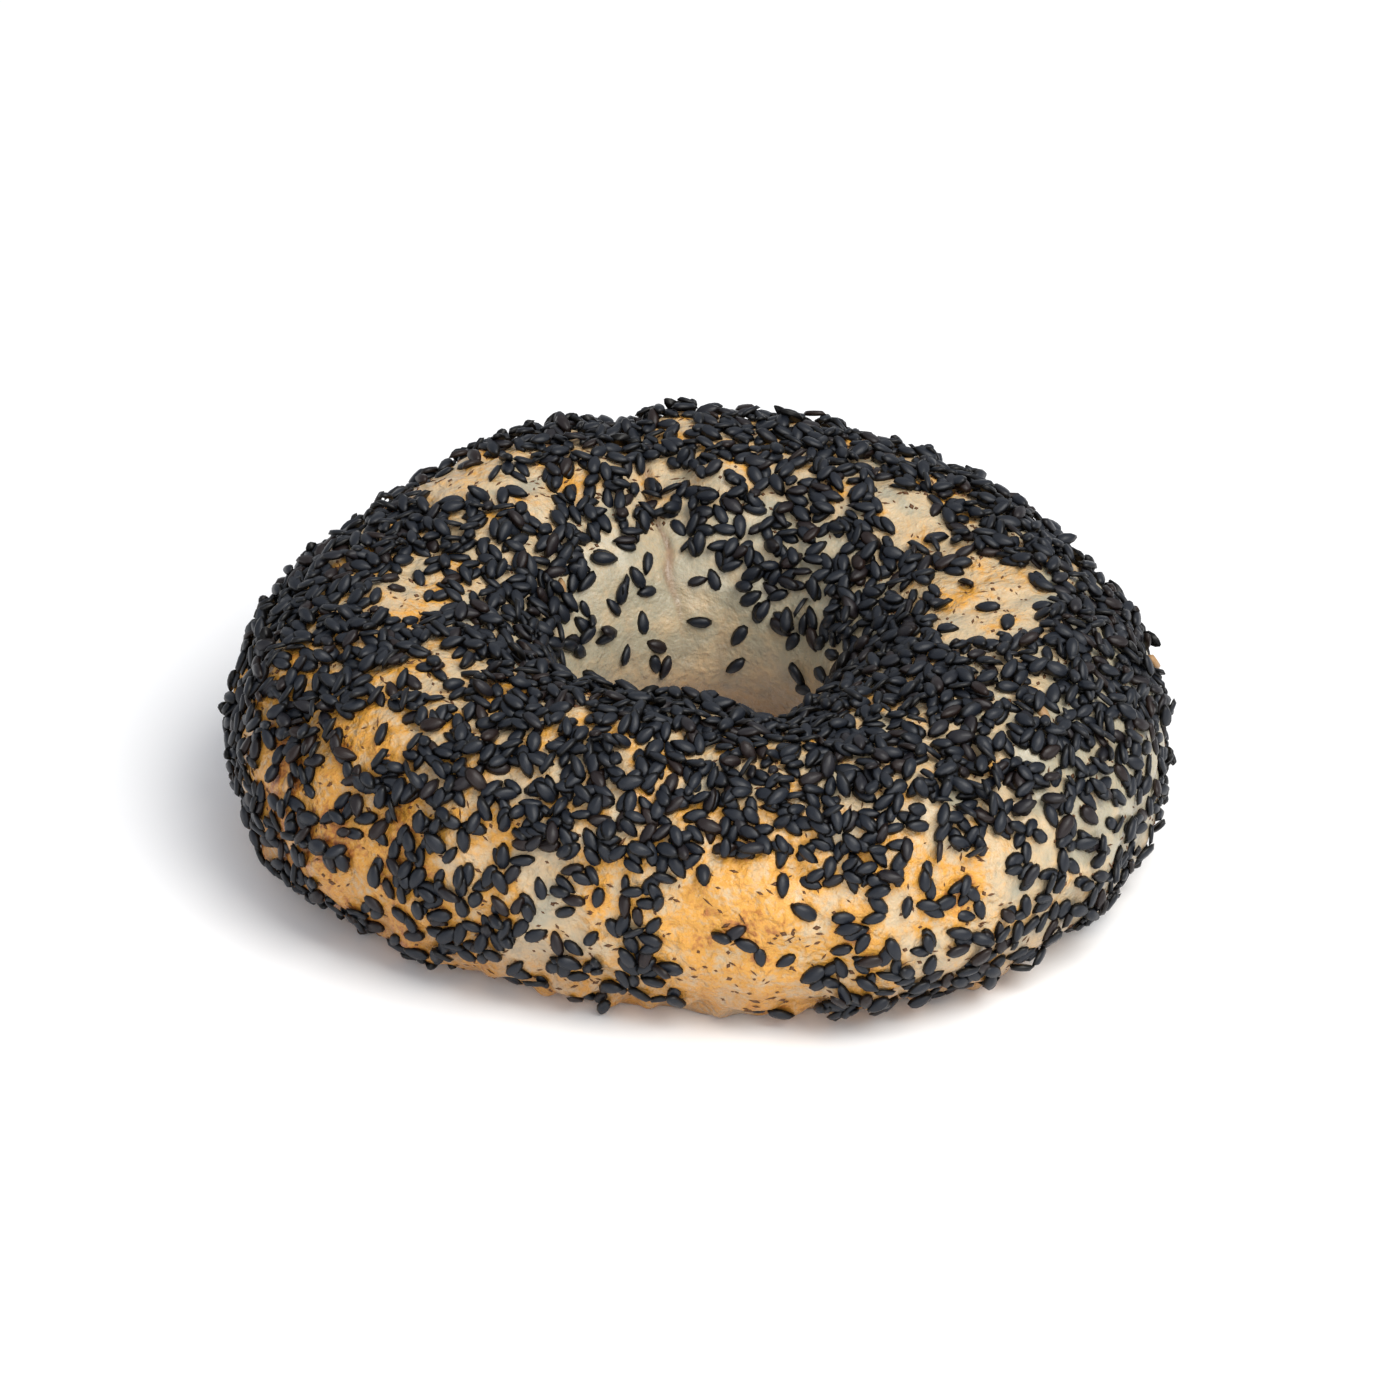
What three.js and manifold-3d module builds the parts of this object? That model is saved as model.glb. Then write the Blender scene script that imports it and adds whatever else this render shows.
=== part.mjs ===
// A sesame bagel: a ring of dough, boiled and baked, its crust covered with black sesame seeds.
// Millimetres, +Z up. It lies on the plane Z = 0, and the origin is on that plane, under the middle
// of its outline. -Y is its front, where the crust is barest. It is one solid: the seeds are fused
// to the crust, and only the largest share of them that a light model can carry is here.

import * as THREE from "three";
import { mergeVertices } from "three/addons/utils/BufferGeometryUtils.js";
import Module from "manifold-3d";

// Driving dimensions.
const DIAMETER = 116; // across the dough
const HOLE_DIAMETER = 31.8; // at the hole's waist
const HEIGHT = 33.7; // from the flat foot to the crest
const SEED_LENGTH = 3.25;
const SEED_WIDTH = 1.75;
const SEED_THICKNESS = 0.85;

// The section of the ring: a rounded square, wide at the waist, cut off flat by the foot.
const WAIST_SHARE = 0.43; // the widest level, as a share of the crest's height
const FOOT_CUT = 1.15; // the lower curve would reach this many waist heights down if uncut
const ROUND_TOP = 2.2; // power of the rounded square over the waist, 2 being an ellipse
const ROUND_FOOT = 2.3; // and below the waist
const CREST_LEAN = 1.9; // how far the crest leans out from the hole

// Hand-rolled unevenness. Each wave goes round the ring "turns" times and is highest at the angle
// "at", where 0 is +X and -90 the front.
const OUTER_WAVES = [
  { turns: 1, share: 0.006, at: 160 },
  { turns: 2, share: 0.028, at: -31 },
  { turns: 3, share: 0.026, at: -43 },
  { turns: 5, share: 0.006, at: -60 },
];
const HOLE_WAVES = [
  { turns: 1, share: 0.03, at: 190 },
  { turns: 2, share: 0.05, at: 20 },
  { turns: 3, share: 0.04, at: -60 },
];
const CREST_WAVES = [
  { turns: 1, share: 0.02, at: 110 },
  { turns: 2, share: 0.014, at: -50 },
];

// Lobes (rise over 0) and dents (rise under 0) that a hand leaves in the dough. "at" is the angle
// round the ring, "up" the angle round the section: 0 outward, 90 the crest, 180 the hole.
// "along" and "across" are their half-widths in millimetres.
const LOBES = [
  { name: "seam of the rolled ends", at: 103, up: 120, along: 3.2, across: 10.3, rise: -2.4 },
  { name: "lobe left of the seam", at: 128, up: 108, along: 12.2, across: 10.3, rise: 2.1 },
  { name: "lobe right of the seam", at: 66, up: 124, along: 11.2, across: 9.4, rise: 2.1 },
  { name: "low rim of the hole, front right", at: -66, up: 122, along: 4.7, across: 8.4, rise: -1.9 },
  { name: "high rim of the hole, front left", at: -108, up: 116, along: 8.4, across: 8.4, rise: 2.4 },
  { name: "full rim of the hole, left", at: -163, up: 124, along: 8.4, across: 5.6, rise: 1.5 },
  { name: "pinch over the front", at: -48, up: 48, along: 4.7, across: 7.5, rise: -0.8 },
  { name: "full shoulder, right", at: -14, up: 2, along: 15.9, across: 11.2, rise: 0.9 },
  { name: "full shoulder, left", at: -160, up: -8, along: 14.0, across: 10.3, rise: 1.7 },
  { name: "slack edge, front left", at: -108, up: -25, along: 20.6, across: 16.8, rise: -2.2 },
  { name: "slack edge, front right", at: -42, up: -30, along: 13.1, across: 13.1, rise: -0.7 },
  { name: "slack shoulder, back left", at: 152, up: 20, along: 9.4, across: 13.1, rise: -1.7 },
];

// Where the seeds lie. "thick" is the share of the crust that they hide at an angle round the section.
const SEED_COVER = [
  { up: -62, thick: 0.02 },
  { up: -30, thick: 0.3 },
  { up: 14, thick: 0.45 },
  { up: 34, thick: 0.9 },
  { up: 124, thick: 0.9 },
  { up: 146, thick: 0.25 },
  { up: 190, thick: 0.07 },
  { up: 225, thick: 0.0 },
];
const SEED_COUNT = 205;
const SEED_SPACING = 7; // between centres, where the cover is thickest
const SEED_SUNK = 0.12; // how deep the middle of a seed lies under the crust

// Fineness of the solid.
const RING_STEPS = 76;
const SECTION_STEPS = 25;
const OUTLINE_STEPS = 8; // corners of a seed's outline

const CRUST = new THREE.MeshStandardMaterial({ color: "#dcae6e", roughness: 0.5, metalness: 0 });

const radians = THREE.MathUtils.degToRad;

// The shortest way from one angle to another, with its sign.
function turn(from, to) {
  return Math.atan2(Math.sin(to - from), Math.cos(to - from));
}

function waved(size, waves, angle) {
  return size * waves.reduce((sum, w) => sum + w.share * Math.cos(w.turns * (angle - radians(w.at))), 1);
}

// A point of the rounded square, whose power changes at the waist, where both halves stand upright.
function roundedSquare(up) {
  const power = Math.sin(up) > 0 ? ROUND_TOP : ROUND_FOOT;
  const c = Math.cos(up);
  const s = Math.sin(up);
  const reach = (Math.abs(c) ** power + Math.abs(s) ** power) ** (-1 / power);
  return [c * reach, s * reach];
}

// The angle below the waist at which the foot cuts the section, found by halving the gap.
function footAngle() {
  let low = -Math.PI / 2;
  let high = 0;
  for (let i = 0; i < 50; i++) {
    const middle = (low + high) / 2;
    if (roundedSquare(middle)[1] < -1 / FOOT_CUT) low = middle;
    else high = middle;
  }
  return (low + high) / 2;
}
const FOOT_ANGLE = footAngle();

// How far the lobes and dents lift the dough at a place.
function lobesAt(angle, up, ringRadius, sectionRadius) {
  return LOBES.reduce((sum, lobe) => {
    const along = (turn(radians(lobe.at), angle) * ringRadius) / lobe.along;
    const across = (turn(radians(lobe.up), up) * sectionRadius) / lobe.across;
    return sum + lobe.rise * Math.exp(-(along ** 2 + across ** 2) / 2);
  }, 0);
}

// A point on the dough, at an angle round the ring and an angle round the section.
function ring(angle, up) {
  const outer = waved(DIAMETER / 2, OUTER_WAVES, angle);
  const inner = waved(HOLE_DIAMETER / 2, HOLE_WAVES, angle);
  const crest = waved(HEIGHT, CREST_WAVES, angle);
  const waist = WAIST_SHARE * crest;
  const half = (outer - inner) / 2;
  const [c, s] = roundedSquare(up);
  const lean = CREST_LEAN * Math.max(s, 0) ** 2 * (1 - c);
  const middle = (outer + inner) / 2;
  const rise = lobesAt(angle, up, middle + half * c, (half + crest / 2) / 2);
  // The foot stays flat: a lobe's lift fades out towards it.
  const aboveFoot = Math.min(1, Math.max(0, 1 + s * FOOT_CUT) * 2);
  const radius = middle + half * c + lean + rise * Math.cos(up);
  const height = waist + s * (s > 0 ? crest - waist : waist * FOOT_CUT) + rise * aboveFoot * Math.sin(up);
  return new THREE.Vector3(radius * Math.cos(angle), radius * Math.sin(angle), Math.max(height, 0));
}

// The middle of the outline, which goes over the origin.
function outlineMiddle() {
  const box = new THREE.Box3();
  for (let i = 0; i < 360; i++) {
    for (let j = -30; j <= 40; j += 2) box.expandByPoint(ring(radians(i), radians(j)));
  }
  return box.getCenter(new THREE.Vector3()).setZ(0);
}
const MIDDLE = outlineMiddle();

function crust(angle, up) {
  return ring(angle, up).sub(MIDDLE);
}

// The crust's outward direction, from two short steps along it.
function outward(angle, up) {
  const step = 0.01;
  const here = crust(angle, up);
  const along = crust(angle + step, up).sub(here);
  const across = crust(angle, up + step).sub(here);
  return along.cross(across).normalize();
}

// The dough: rows of points over the section, from the foot's outer edge to its inner edge, and one
// strip that closes the flat foot.
function doughGeometry() {
  const points = [];
  const faces = [];
  for (let i = 0; i < RING_STEPS; i++) {
    for (let j = 0; j <= SECTION_STEPS; j++) {
      const up = FOOT_ANGLE + (j / SECTION_STEPS) * (Math.PI - 2 * FOOT_ANGLE);
      points.push(...crust((i / RING_STEPS) * 2 * Math.PI, up).toArray());
    }
  }
  const rows = SECTION_STEPS + 1;
  for (let i = 0; i < RING_STEPS; i++) {
    for (let j = 0; j < rows; j++) {
      const a = i * rows + j;
      const b = i * rows + ((j + 1) % rows);
      const c = ((i + 1) % RING_STEPS) * rows + ((j + 1) % rows);
      const d = ((i + 1) % RING_STEPS) * rows + j;
      faces.push(a, d, c, a, c, b);
    }
  }
  const geometry = new THREE.BufferGeometry();
  geometry.setAttribute("position", new THREE.Float32BufferAttribute(points, 3));
  geometry.setIndex(faces);
  return geometry;
}

// A seed: a teardrop outline with a low tent over it and a blunt cone under it, pointing along +X.
function seedGeometry() {
  const points = [];
  for (let i = 0; i < OUTLINE_STEPS; i++) {
    const a = (i / OUTLINE_STEPS) * 2 * Math.PI;
    const taper = 1 - 0.28 * Math.cos(a); // narrower towards the point
    points.push((SEED_LENGTH / 2) * Math.cos(a), (SEED_WIDTH / 2) * Math.sin(a) * taper, 0);
  }
  const top = OUTLINE_STEPS;
  const bottom = OUTLINE_STEPS + 1;
  points.push(-SEED_LENGTH * 0.08, 0, SEED_THICKNESS / 2);
  points.push(-SEED_LENGTH * 0.08, 0, -SEED_THICKNESS);
  const faces = [];
  for (let i = 0; i < OUTLINE_STEPS; i++) {
    const next = (i + 1) % OUTLINE_STEPS;
    faces.push(i, next, top, next, i, bottom);
  }
  const geometry = new THREE.BufferGeometry();
  geometry.setAttribute("position", new THREE.Float32BufferAttribute(points, 3));
  geometry.setIndex(faces);
  return geometry;
}

// A repeatable row of random numbers from 0 to 1.
function seededRandom(seed) {
  let state = seed;
  return () => {
    state = (state + 0x6d2b79f5) | 0;
    let t = Math.imul(state ^ (state >>> 15), 1 | state);
    t = (t + Math.imul(t ^ (t >>> 7), 61 | t)) ^ t;
    return ((t ^ (t >>> 14)) >>> 0) / 4294967296;
  };
}

function seedCover(up) {
  const degrees = THREE.MathUtils.radToDeg(up);
  const next = SEED_COVER.findIndex((stop) => stop.up > degrees);
  if (next < 1) return 0;
  const [low, high] = [SEED_COVER[next - 1], SEED_COVER[next]];
  return THREE.MathUtils.mapLinear(degrees, low.up, high.up, low.thick, high.thick);
}

// Places for the seeds, evenly spread: a place is taken if it is far enough from all before it, and
// further where the cover is thin.
function seedPlaces() {
  const random = seededRandom(7);
  const places = [];
  for (let tries = 0; tries < 60000 && places.length < SEED_COUNT; tries++) {
    const angle = random() * 2 * Math.PI;
    const up = THREE.MathUtils.lerp(FOOT_ANGLE, Math.PI - FOOT_ANGLE, random());
    const heading = random() * 2 * Math.PI;
    const point = crust(angle, up);
    // The rows are longer outside the ring than in its hole, so an even draw needs this share.
    const wanted = Math.hypot(point.x, point.y) / (DIAMETER / 2);
    const cover = seedCover(up);
    // None lies under the flat foot, or so close over it that it would reach the floor.
    if (cover < 0.04 || point.z < SEED_LENGTH || random() > wanted) continue;
    const gap = SEED_SPACING / Math.sqrt(cover / 0.9);
    if (places.every((other) => other.point.distanceTo(point) > Math.min(gap, other.gap))) {
      places.push({ point, gap, heading, normal: outward(angle, up) });
    }
  }
  return places;
}

// The matrix that lays a seed on its place, flat on the crust and turned to its heading.
function layDown({ point, normal, heading }) {
  const level = new THREE.Vector3(-normal.y, normal.x, 0).normalize();
  const steep = normal.clone().cross(level);
  const ahead = level.multiplyScalar(Math.cos(heading)).addScaledVector(steep, Math.sin(heading));
  const aside = normal.clone().cross(ahead);
  const middle = point.clone().addScaledVector(normal, SEED_THICKNESS / 2 - SEED_SUNK);
  return new THREE.Matrix4().makeBasis(ahead, aside, normal).setPosition(middle);
}

const wasm = await Module();
wasm.setup();

function toSolid(geometry) {
  const merged = mergeVertices(geometry, 1e-4);
  return new wasm.Manifold(
    new wasm.Mesh({
      numProp: 3,
      vertProperties: new Float32Array(merged.getAttribute("position").array),
      triVerts: new Uint32Array(merged.index.array),
    }),
  );
}

function toGeometry(solid) {
  const mesh = solid.getMesh();
  const geometry = new THREE.BufferGeometry();
  geometry.setAttribute("position", new THREE.BufferAttribute(mesh.vertProperties, 3));
  geometry.setIndex(new THREE.BufferAttribute(mesh.triVerts, 1));
  return geometry;
}

function seededBagel() {
  const seed = seedGeometry();
  return seedPlaces().reduce(
    (solid, place) => solid.add(toSolid(seed.clone().applyMatrix4(layDown(place)))),
    toSolid(doughGeometry()),
  );
}

const bagel = new THREE.Mesh(toGeometry(seededBagel()), CRUST);
bagel.name = "bagel";

const group = new THREE.Group();
group.add(bagel);
export default group;
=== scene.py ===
# %% [markdown]
# # A sesame bagel
#
# A ring of wheat dough, boiled, rolled in black sesame seeds and baked. It is dressed here in three
# pieces: the dough with its crust, the whole seeds, and the chips and husks that come with them.
# The solid model is loaded first, and its own mesh is hidden further down.

import bpy
import numpy as np
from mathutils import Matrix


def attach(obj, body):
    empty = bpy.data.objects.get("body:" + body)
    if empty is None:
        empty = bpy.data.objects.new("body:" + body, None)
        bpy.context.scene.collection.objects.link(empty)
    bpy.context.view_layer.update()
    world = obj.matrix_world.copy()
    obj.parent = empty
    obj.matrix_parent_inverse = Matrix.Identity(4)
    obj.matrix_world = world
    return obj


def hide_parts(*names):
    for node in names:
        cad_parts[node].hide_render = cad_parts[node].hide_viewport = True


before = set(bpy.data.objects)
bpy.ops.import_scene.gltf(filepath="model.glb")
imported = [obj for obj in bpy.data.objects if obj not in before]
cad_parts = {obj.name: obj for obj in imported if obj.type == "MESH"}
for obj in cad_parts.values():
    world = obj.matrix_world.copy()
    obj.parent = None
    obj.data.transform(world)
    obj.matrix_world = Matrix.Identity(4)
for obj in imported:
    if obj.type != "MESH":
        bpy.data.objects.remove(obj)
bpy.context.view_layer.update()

# %% [markdown]
# ## Sizes
#
# A handful of sizes drive the whole shape. They are the ones that a baker could take with callipers.
# Blender counts in metres, so each is written in millimetres times MM.

# %% Driving sizes
MM = 0.001
DIAMETER = 116 * MM  # across the dough
HOLE_DIAMETER = 31.8 * MM  # at the hole's waist
HEIGHT = 33.7 * MM  # from the flat foot to the crest
SEED_LENGTH = 3.25 * MM
SEED_WIDTH = 1.75 * MM
SEED_THICKNESS = 0.85 * MM

WAIST_SHARE = 0.43  # the widest level, as a share of the crest's height
FOOT_CUT = 1.15  # the lower curve would reach this many waist heights down if the foot didn't cut it
ROUND_TOP = 2.2  # power of the rounded square over the waist, 2 being an ellipse
ROUND_FOOT = 2.3  # and below the waist
CREST_LEAN = 1.9 * MM  # how far the crest leans out from the hole

# %% [markdown]
# ## The ring
#
# A torus would be too perfect: a hand rolls a rope of dough, joins its ends and slaps the ring on a
# board. So the section is a rounded square that the board cuts off flat, its width, hole and height
# swell and shrink slowly round the ring, and single lobes and dents sit where fingers and the joint
# left them. It could be sculpted, but a formula can be read, corrected and asked for any point, which
# the seeds need later. Angles round the ring start at +X, and -90 degrees is the front. Angles round
# the section start outward, with 90 the crest and 180 the hole.

# %% Waves and lobes
# Each wave: how many times it rises round the ring, by what share, and where, in degrees.
OUTER_WAVES = [(1, 0.006, 160), (2, 0.028, -31), (3, 0.026, -43), (5, 0.006, -60)]
HOLE_WAVES = [(1, 0.03, 190), (2, 0.05, 20), (3, 0.04, -60)]
CREST_WAVES = [(1, 0.02, 110), (2, 0.014, -50)]
SEAM_AT = 103  # where the rolled ends meet, in degrees round the ring

# Each lobe: where it is round the ring and up the section, its half-widths, and how far it rises.
LOBES = {
    "seam of the rolled ends": (SEAM_AT, 120, 3.2 * MM, 10.3 * MM, -2.4 * MM),
    "lobe left of the seam": (128, 108, 12.2 * MM, 10.3 * MM, 2.1 * MM),
    "lobe right of the seam": (66, 124, 11.2 * MM, 9.4 * MM, 2.1 * MM),
    "low rim of the hole, front right": (-66, 122, 4.7 * MM, 8.4 * MM, -1.9 * MM),
    "high rim of the hole, front left": (-108, 116, 8.4 * MM, 8.4 * MM, 2.4 * MM),
    "full rim of the hole, left": (-163, 124, 8.4 * MM, 5.6 * MM, 1.5 * MM),
    "pinch over the front": (-48, 48, 4.7 * MM, 7.5 * MM, -0.8 * MM),
    "full shoulder, right": (-14, 2, 15.9 * MM, 11.2 * MM, 0.9 * MM),
    "full shoulder, left": (-160, -8, 14.0 * MM, 10.3 * MM, 1.7 * MM),
    "slack edge, front left": (-108, -25, 20.6 * MM, 16.8 * MM, -2.2 * MM),
    "slack edge, front right": (-42, -30, 13.1 * MM, 13.1 * MM, -0.7 * MM),
    "slack shoulder, back left": (152, 20, 9.4 * MM, 13.1 * MM, -1.7 * MM),
}

# %% Waves, angles, the rounded square and spots


def waved(size, waves, around):
    """size x (1 + the sum of share x cos(turns x (around - at)))."""
    return size * (1 + sum(share * np.cos(turns * (around - np.radians(at))) for turns, share, at in waves))


def turn(start, end):
    """The shortest way from one angle to another, with its sign."""
    return np.arctan2(np.sin(end - start), np.cos(end - start))


def rounded_square(up):
    """cos and sin of the angle, both divided by (|cos|^p + |sin|^p)^(1/p)."""
    power = np.where(np.sin(up) > 0, ROUND_TOP, ROUND_FOOT)
    reach = (np.abs(np.cos(up)) ** power + np.abs(np.sin(up)) ** power) ** (-1 / power)
    return np.cos(up) * reach, np.sin(up) * reach


def foot_angle():
    """The angle below the waist at which the board cuts the section, found by halving the gap."""
    low, high = -np.pi / 2, 0.0
    for _ in range(50):
        middle = (low + high) / 2
        if rounded_square(middle)[1] < -1 / FOOT_CUT:
            low = middle
        else:
            high = middle
    return (low + high) / 2


def spot(around, up, ring_radius, section_radius, at_around, at_up, along, across):
    """A soft spot: exp(-(x^2 + y^2) / 2), with x and y the distances from its centre, along the ring
    and across it, each over the spot's half-width that way."""
    x = turn(np.radians(at_around), around) * ring_radius / along
    y = turn(np.radians(at_up), up) * section_radius / across
    return np.exp(-(x**2 + y**2) / 2)


# %% The plain ring


def section(around):
    """The ring's middle radius and half width at an angle, which are half the sum and half the
    difference of its outer and inner radius, and its crest's height."""
    outer = waved(DIAMETER / 2, OUTER_WAVES, around)
    inner = waved(HOLE_DIAMETER / 2, HOLE_WAVES, around)
    return (outer + inner) / 2, (outer - inner) / 2, waved(HEIGHT, CREST_WAVES, around)


def place(around, up):
    """Distances for spots: how far a point is from the ring's axis, and the section's mean radius,
    which is the mean of its half width and half its height."""
    middle, half, crest = section(around)
    return middle + half * rounded_square(up)[0], (half + crest / 2) / 2


def ring(around, up):
    """Points of the dough, before they are centred. With c and s from the rounded square:
    radius = middle + half width x c + lean x s^2 x (1 - c) + lift x cos(up),
    height = waist + s x (what is over, or under, the waist) + lift x sin(up),
    where the lean counts only over the waist, the lift is the sum of all lobes, and the lift's height
    fades out towards the flat foot."""
    middle, half, crest = section(around)
    waist = WAIST_SHARE * crest
    c, s = rounded_square(up)
    lift = sum(rise * spot(around, up, *place(around, up), *where) for *where, rise in LOBES.values())
    over_foot = np.clip(2 * (1 + s * FOOT_CUT), 0, 1)
    lean = CREST_LEAN * np.maximum(s, 0) ** 2 * (1 - c)
    radius = middle + half * c + lean + lift * np.cos(up)
    height = waist + s * np.where(s > 0, crest - waist, waist * FOOT_CUT) + lift * over_foot * np.sin(up)
    return np.stack([radius * np.cos(around), radius * np.sin(around), np.maximum(height, 0)], axis=-1)


FOOT = foot_angle()
outline = ring(*np.meshgrid(np.linspace(-np.pi, np.pi, 361), np.radians(np.arange(-30, 41, 2.0))))
MIDDLE = (outline.reshape(-1, 3).max(0) + outline.reshape(-1, 3).min(0)) / 2 * (1, 1, 0)
print("plain ring, mm:", np.ptp(outline.reshape(-1, 3), axis=0)[:2] / MM, "foot cut at", np.degrees(FOOT))

# %% [markdown]
# ## Blisters, wrinkles and a rough foot
#
# Boiling sets a thin skin, and the oven lifts it into low blisters. That needs noise on the mesh.
# Blender's noise textures could displace it, but the seeds must lie on the same bumps, so the noise is
# worked out here: the sum of many sine waves that run through space in random directions. The board
# leaves the foot's edge lumpy, and the skin creases along the seam, on the shoulder at the front right
# and down the hole's wall.

# %% Smooth noise
WAVES_IN_NOISE = 28


def noise(points, length, seed):
    """Smooth bumps about one length apart, 0 on average and mostly between -2 and 2: the sum of
    sin(point . direction x 2 pi / length + phase) over random directions and phases, times the
    square root of 2 / the number of waves."""
    rng = np.random.default_rng(seed)
    way = rng.normal(size=(3, WAVES_IN_NOISE))
    way *= rng.uniform(0.8, 1.3, WAVES_IN_NOISE) * 2 * np.pi / length / np.linalg.norm(way, axis=0)
    phase = rng.uniform(0, 2 * np.pi, WAVES_IN_NOISE)
    return np.sin(points @ way + phase).sum(axis=-1) * (2 / WAVES_IN_NOISE) ** 0.5


def smoothstep(low, high, value):
    """0 below low, 1 above high, and 3t^2 - 2t^3 between."""
    t = np.clip((value - low) / (high - low), 0, 1)
    return t * t * (3 - 2 * t)


# %% Folds
# Each short fold: where it is round the ring and up the section.
SHOULDER_FOLDS = [(-62, 29), (-57, 36), (-66, 43)]
HOLE_FOLDS = [(82, 172), (128, 168), (-20, 165), (-150, 170), (-75, 168)]


def creases(around, up, points):
    """Folds: each is -depth x exp(-(x / width)^2), with x the way to a wavy line. The seam's is 0.75 mm
    deep and 0.6 mm wide, the shoulder's are 0.3 by 0.8 mm and the hole's 0.3 by 1.2 mm."""
    radius, section_radius = place(around, up)
    wander = noise(points, 9 * MM, 11) * 0.5 * MM
    seam = turn(np.radians(SEAM_AT), around) * radius + wander
    seam_reach = spot(around, up, radius, section_radius, SEAM_AT, 122, 30 * MM, 12 * MM)
    fold = -0.75 * MM * np.exp(-((seam / (0.6 * MM)) ** 2)) * seam_reach
    for at_around, at_up in SHOULDER_FOLDS:
        line = turn(np.radians(at_up), up) * section_radius + wander
        reach = spot(around, up, radius, section_radius, at_around, at_up, 9 * MM, 9 * MM)
        fold = fold - 0.3 * MM * np.exp(-((line / (0.8 * MM)) ** 2)) * reach
    for at_around, at_up in HOLE_FOLDS:
        line = turn(np.radians(at_around), around) * radius + 1.5 * wander
        reach = spot(around, up, radius, section_radius, at_around, at_up, 9 * MM, 7 * MM)
        fold = fold - 0.3 * MM * np.exp(-((line / (1.2 * MM)) ** 2)) * reach
    return fold


# %% The finished crust
# Each size of blister: how far apart they are, how high, and the noise's seed.
BLISTERS = [(15 * MM, 0.32 * MM, 1), (7 * MM, 0.2 * MM, 2), (3.2 * MM, 0.1 * MM, 3)]
LUMP_LENGTH = 4.5 * MM  # from one lump of the foot's edge to the next
LUMP_HEIGHT = 0.45 * MM


def relief(around, up, points):
    """How far the skin stands out from the plain ring: blisters, which are lower in the hole, lumps
    around 2.5 mm over the board, and folds."""
    in_hole = smoothstep(np.radians(120), np.radians(150), up)
    blisters = sum(height * noise(points, length, seed) for length, height, seed in BLISTERS)
    over_board = points[..., 2]
    near_foot = np.exp(-(((over_board - 2.5 * MM) / (3 * MM)) ** 2)) * smoothstep(0, 1.5 * MM, over_board)
    lumps = LUMP_HEIGHT * noise(points, LUMP_LENGTH, 4) * near_foot
    return blisters * (1 - 0.55 * in_hole) + lumps * (1 - in_hole) + creases(around, up, points)


def outward(around, up):
    """The plain ring's outward direction: the cross product of two short steps along it."""
    step = 0.01  # radians
    along = ring(around + step, up) - ring(around - step, up)
    across = ring(around, up + step) - ring(around, up - step)
    normal = np.cross(along, across)
    return normal / np.linalg.norm(normal, axis=-1, keepdims=True)


def crust(around, up):
    """Points of the finished crust: the plain ring, centred, with the relief along its normal."""
    points = ring(around, up) - MIDDLE
    points = points + relief(around, up, points)[..., None] * outward(around, up)
    points[..., 2] = np.maximum(points[..., 2], 0)
    return points


# %% [markdown]
# ## The dough
#
# One closed sheet of quads goes round the ring and round the section: most of its rows lie over the
# crust, and the rest cross the flat foot underneath. The foot gets the shallow dents that steam
# leaves between dough and board. Closed rows both ways need no caps, poles or seams.

# %% From numbers to a mesh


def add_mesh(name, points, faces, smooth=True):
    """Puts points and faces, all with as many corners, into a new mesh object, and returns it."""
    mesh = bpy.data.meshes.new(name)
    mesh.vertices.add(len(points))
    mesh.vertices.foreach_set("co", points.astype(np.float32).ravel())
    mesh.loops.add(faces.size)
    mesh.loops.foreach_set("vertex_index", faces.astype(np.int32).ravel())
    mesh.polygons.add(len(faces))
    mesh.polygons.foreach_set("loop_start", np.arange(0, faces.size, faces.shape[1], dtype=np.int32))
    mesh.polygons.foreach_set("use_smooth", np.full(len(faces), smooth))
    mesh.update(calc_edges=True)
    piece = bpy.data.objects.new(name, mesh)
    bpy.context.scene.collection.objects.link(piece)
    return piece


def paint(piece, name, values):
    """Stores one number for each vertex, which a material reads by its name."""
    attribute = piece.data.attributes.new(name, "FLOAT", "POINT")
    attribute.data.foreach_set("value", values.astype(np.float32).ravel())


def ring_faces(columns, rows):
    """Quads of a grid that closes both ways: each joins a point to the next column and row."""
    column, row = np.meshgrid(np.arange(columns), np.arange(rows), indexing="ij")
    after, above = (column + 1) % columns, (row + 1) % rows
    corners = [column * rows + row, after * rows + row, after * rows + above, column * rows + above]
    return np.stack(corners, axis=-1).reshape(-1, 4)


# %% The dough's mesh
AROUND_STEPS = 540
CRUST_ROWS = 150
FOOT_ROWS = 30
FOOT_DENT = 0.22 * MM


def foot_points(around, across):
    """The foot, from its inner edge (across = 0) to its outer edge (1): a straight line between the
    edges, lifted a little off the board in between by dents."""
    inner, outer = crust(around, np.pi - FOOT + 0 * across), crust(around, FOOT + 0 * across)
    points = inner + (outer - inner) * across[..., None]
    dents = FOOT_DENT * np.maximum(1 + noise(points, 6 * MM, 6) + 0.5 * noise(points, 2.5 * MM, 7), 0.5)
    points[..., 2] = dents * smoothstep(0, 0.12, across) * smoothstep(0, 0.12, 1 - across)
    return points


around_steps = np.linspace(0, 2 * np.pi, AROUND_STEPS, endpoint=False)
up_steps = np.linspace(FOOT, np.pi - FOOT, CRUST_ROWS)
across_steps = np.linspace(0, 1, FOOT_ROWS + 2)[1:-1]
crust_around, crust_up = np.meshgrid(around_steps, up_steps, indexing="ij")
foot_around, foot_across = np.meshgrid(around_steps, across_steps, indexing="ij")
crust_grid = crust(crust_around, crust_up)
foot_grid = foot_points(foot_around, foot_across)
dough_grid = np.concatenate([crust_grid, foot_grid], axis=1)
dough = add_mesh("dough", dough_grid.reshape(-1, 3), ring_faces(AROUND_STEPS, CRUST_ROWS + FOOT_ROWS))
print("dough:", len(dough.data.polygons), "quads,", np.ptp(dough_grid.reshape(-1, 3), axis=0) / MM, "mm")
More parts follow.
